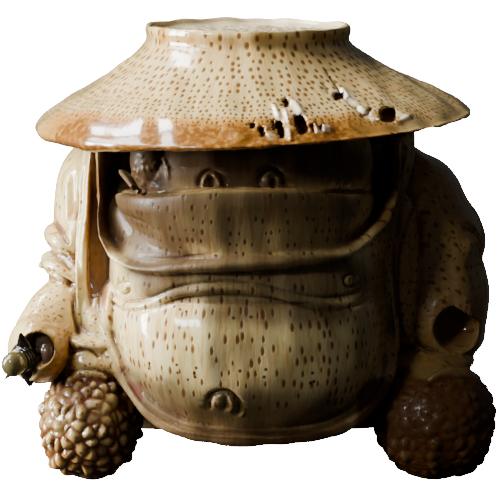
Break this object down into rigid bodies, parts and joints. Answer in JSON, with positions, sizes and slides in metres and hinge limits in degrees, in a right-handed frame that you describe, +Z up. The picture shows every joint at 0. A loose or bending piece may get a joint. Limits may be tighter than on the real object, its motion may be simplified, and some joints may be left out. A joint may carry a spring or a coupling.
{
  "type": "bamboo root carving",
  "caption": "Toad in a wide flat-topped hat and an open robe, carved in one piece from bamboo root, with a dark rod held in its fist",
  "frame": {"origin": "on the surface that the carving stands on, under the middle of its box", "axes": "+Z up, -Y towards the viewer of its face, +X to that viewer's right"},
  "size_m": [0.0916, 0.083, 0.0834],
  "materials": {
    "bamboo_root": "polished and varnished bamboo root, brown bundle dots, amber stain in the cuts",
    "dark_horn": "polished dark horn with an olive grey knob"
  },
  "bodies": {
    "root": {"toad_carving": "bamboo_root", "horn_rod": "dark_horn"}
  },
  "joints": []
}
